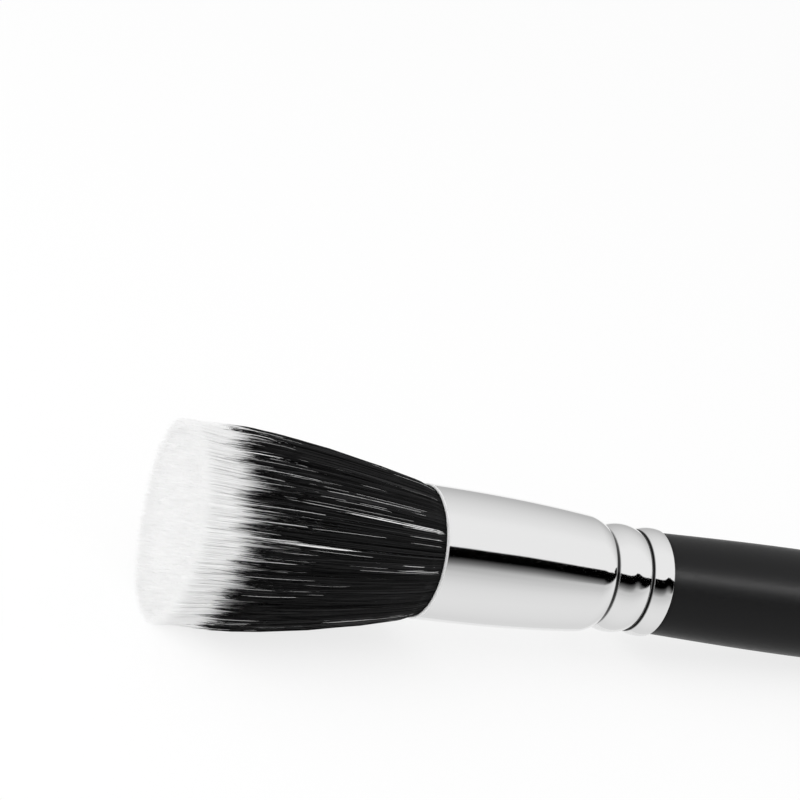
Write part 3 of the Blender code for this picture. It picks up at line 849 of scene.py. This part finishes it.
def white_ring(ring, rng):
    """One ring of white fibres, scattered evenly over it at the mouth.

    The outermost ring starts a little inside the black hairs, and all spread outwards past the
    black tips. A saddle and a slant make the white face uneven, and a painted shade darkens the
    colour of the tips at its outer edge.
    """
    outer, inner = ring_edges(ring)
    if ring == 0:
        outer *= WHITE_REACH
    count = WHITE_IN_RING[ring]
    reach = np.sqrt(rng.uniform(inner**2, outer**2, count))
    heading = rng.uniform(0, 2 * math.pi, count)
    saddle = WHITE_SADDLE * (1 - np.cos(2 * (heading - CAMERA_SIDE)))
    uneven = (saddle - WHITE_SLANT * np.sin(heading)) * reach / KNOT_RADIUS
    length = WHITE_LENGTH + uneven - np.abs(rng.normal(0, WHITE_LENGTH_SPREAD, count))
    height = WHITE_HEIGHTS * length[:, None]
    along = np.clip(WHITE_HEIGHTS, 0, 1)
    wander = np.where(rng.uniform(0, 1, count) < WANDERING_SHARE, WANDERING_DRIFT, 1.0)
    height = height * (1 + WANDERING_EXTRA * (wander[:, None] - 1))
    lean = np.clip(rng.normal(0, WHITE_DRIFT, (2, count)), -MOST_DRIFT, MOST_DRIFT)
    drift = (lean * wander)[:, :, None] * along**WHITE_DRIFT_POWER
    returned = np.clip((along - RETURN_START) / RETURN_SPAN, 0, 1)
    reach = reach[:, None] * (1 + WHITE_RETURN * returned)
    start = reach * np.cos(heading)[:, None], reach * np.sin(heading)[:, None]
    thick = WHITE_WIDTH * rng.uniform(*WHITE_WIDTHS_VARY, count)
    width = thick[:, None] * np.interp(along, *WHITE_TAPER)
    # Painted shade: the tips' colour darkens towards the knot's outer edge.
    edge = (reach[:, :1] / KNOT_RADIUS) ** EDGE_SHARPNESS
    shade = 1 - edge * np.interp(along, *TIP_SHADE)
    name = f"white_fibres_{ring + 1}"
    for made in grown(name, start, drift, height, width, rng, WHITE_TONES, shade):
        made.data.materials.append(white_fibre)
        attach(made, "root")
        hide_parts(f"white_fibre_{ring + 1}")


for ring in range(RING_COUNT):
    white_ring(ring, np.random.default_rng(WHITE_SEED + ring))


# Stray white fibres. Some white filaments lie outside the black hairs for part of their length: a
# few bright bundles, fine ones all over, and thicker ones that come up just short of the black
# tips. Elsewhere they slip back in between the hairs.
BRIGHT_STRAYS = (   # side at root and tip in degrees, low and high height in metres, copies
    (-48, -45, -0.001, 0.027, 3), (-49.4, -46, -0.001, 0.02, 3), (-50.3, -47, -0.001, 0.012, 2),
    (-71.5, -70.5, 0.013, 0.035, 3), (-30, -31, 0.014, 0.03, 3), (-56, -56, -0.001, 0.01, 2),
    (-78, -77, 0.001, 0.013, 3), (-82, -80, -0.001, 0.01, 2), (-38, -36, 0.001, 0.009, 2),
)
BRIGHT_SPREAD = (0.2, 0.4, 0.0005, 0.0015)           # of the first four
BRIGHT_THICKNESS = 2.5
FINE_STRAYS = ((-0.004, 0.022, 85), (0.0175, 0.0265, 75))   # range of the low height, count
FINE_LENGTHS = (0.008, 0.026)
FINE_TURN = 2
FINE_THICKNESS = ((0.015, 0.022), (1, 2.2))          # low height, share of the width
STRAY_WIDTH = 0.000013
STRAY_WIDTHS_VARY = (0.8, 1.25)
STRAY_TAPER = ((0, 0.9, 1), (1, 1, 0.4))
STRAY_HEIGHTS = np.linspace(-0.02, 1, 34)
STRAY_SHORTNESS = (0.0005, 0.0025)
STRAY_SINK = 0.0005
STRAY_RISE_LENGTH = 0.0008
STRAY_FALL_LENGTH = 0.002
STRAY_SEED = 300


def stray_fibres(rng):
    """White fibres that lie on the knot between a low and a high height, and in it elsewhere.

    A smooth step up at the low height times one down at the high height says how far outside
    they are, and they sink by what is left of it.
    """
    *bright, copies = np.array(BRIGHT_STRAYS).T
    bright = [np.repeat(column, copies.astype(int)) for column in bright]
    bright_count = len(bright[0])
    fine_low = np.concatenate([rng.uniform(*span) for span in FINE_STRAYS])
    fine_count = len(fine_low)
    fine_root = rng.uniform(-180, 180, fine_count)
    around = [rng.normal(0, spread, bright_count) for spread in BRIGHT_SPREAD[:2]]
    fine_top = fine_root + rng.normal(0, FINE_TURN, fine_count)
    around += [rng.normal(0, spread, bright_count) for spread in BRIGHT_SPREAD[2:]]
    fine_high = fine_low + rng.uniform(*FINE_LENGTHS, fine_count)
    root, top, low, high = [
        np.concatenate([column + off, fine])[:, None] for column, off, fine
        in zip(bright, around, (fine_root, fine_top, fine_low, fine_high))
    ]
    count = bright_count + fine_count
    height = STRAY_HEIGHTS * (WHITE_LENGTH - rng.uniform(*STRAY_SHORTNESS, count))[:, None]
    heading = np.radians(root + (top - root) * np.clip(height / WHITE_LENGTH, 0, 1))
    risen = 1 / (1 + np.exp(-(height - low) / STRAY_RISE_LENGTH))
    outside = risen / (1 + np.exp((height - high) / STRAY_FALL_LENGTH))
    reach = KNOT_RADIUS - STRAY_SINK * (1 - outside)
    fine_thick = np.interp(fine_low, *FINE_THICKNESS)
    thick = np.concatenate([np.full(bright_count, BRIGHT_THICKNESS), fine_thick])
    thick = thick * rng.uniform(*STRAY_WIDTHS_VARY, count)
    width = STRAY_WIDTH * thick[:, None] * np.interp(STRAY_HEIGHTS, *STRAY_TAPER)
    start = reach * np.cos(heading), reach * np.sin(heading)
    return grown("stray_white_fibres", start, (0, 0), height, width, rng, WHITE_TONES)


strays = stray_fibres(np.random.default_rng(STRAY_SEED))[0]
strays.data.materials.append(white_fibre)
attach(strays, "root")
